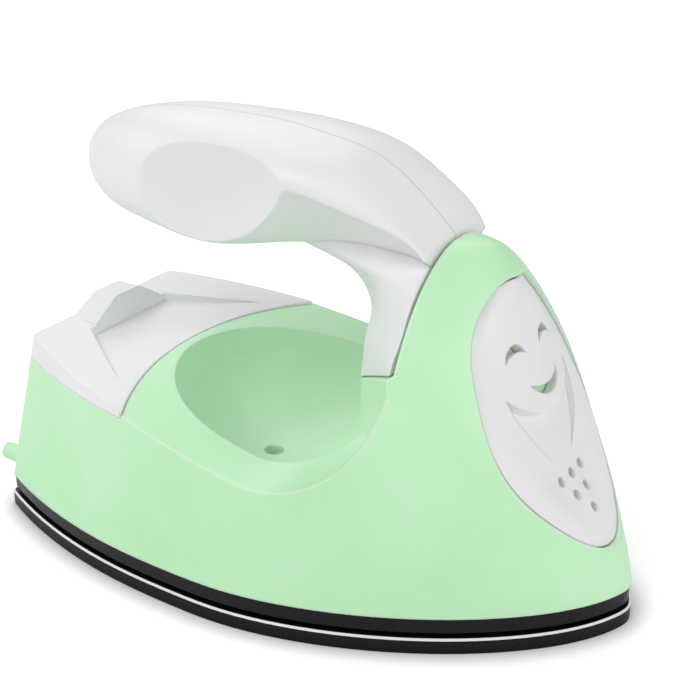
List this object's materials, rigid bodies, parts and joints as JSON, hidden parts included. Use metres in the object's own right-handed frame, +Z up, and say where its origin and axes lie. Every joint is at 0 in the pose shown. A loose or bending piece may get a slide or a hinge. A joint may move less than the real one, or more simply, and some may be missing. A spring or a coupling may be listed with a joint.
{
  "type": "mini craft iron",
  "caption": "Small craft iron: boat-shaped hot sole, plastic housing with a finger bowl and vented nose plate, and a handle that reaches back over the deck from the hood.",
  "frame": {"origin": "middle of the whole length and width, on the underside of the sole, which is the surface that the iron rests on", "axes": "+X towards the nose, +Z up, +Y to the iron's left"},
  "size_m": [0.1134, 0.0684, 0.0728],
  "materials": {
    "sole_coating": "smooth non-stick coating on cast metal",
    "skirt_plastic": "heat-resistant black, slight sheen",
    "green_plastic": "mint green moulded plastic, satin gloss",
    "white_plastic": "white moulded plastic, satin",
    "heater_metal": "plain sheet",
    "mica": "pressed mica",
    "sheet_steel": "zinc plated",
    "sleeve_fibre": "glass fibre sleeve",
    "block_ceramic": "glazed ceramic",
    "lead_silicone": "silicone insulation",
    "inlet_rubber": "soft matt",
    "clamp_plastic": "as moulded",
    "screw_steel": "zinc plated"
  },
  "bodies": {
    "root": {"soleplate": "sole_coating", "base_skirt": "skirt_plastic", "main_housing": "green_plastic", "rear_cover": "white_plastic", "face_plate": "white_plastic", "handle_left": "white_plastic", "handle_right": "white_plastic", "ptc_heater": "heater_metal", "mica_sheet": "mica", "heater_clamp": "sheet_steel", "heat_shield": "heater_metal", "thermal_fuse": "heater_metal", "fuse_sleeve": "sleeve_fibre", "fuse_clip": "sheet_steel", "terminal_block": "block_ceramic", "fuse_lead": "lead_silicone", "heater_lead": "lead_silicone", "return_lead": "lead_silicone", "cord_inlet": "inlet_rubber", "cord_clamp": "clamp_plastic", "sole_screws": "screw_steel", "housing_screws": "screw_steel", "heater_clamp_screws": "screw_steel", "fuse_clip_screw": "screw_steel", "terminal_screws": "screw_steel", "cord_clamp_screws": "screw_steel", "foot_screws": "screw_steel", "grip_screws": "screw_steel"}
  },
  "joints": []
}
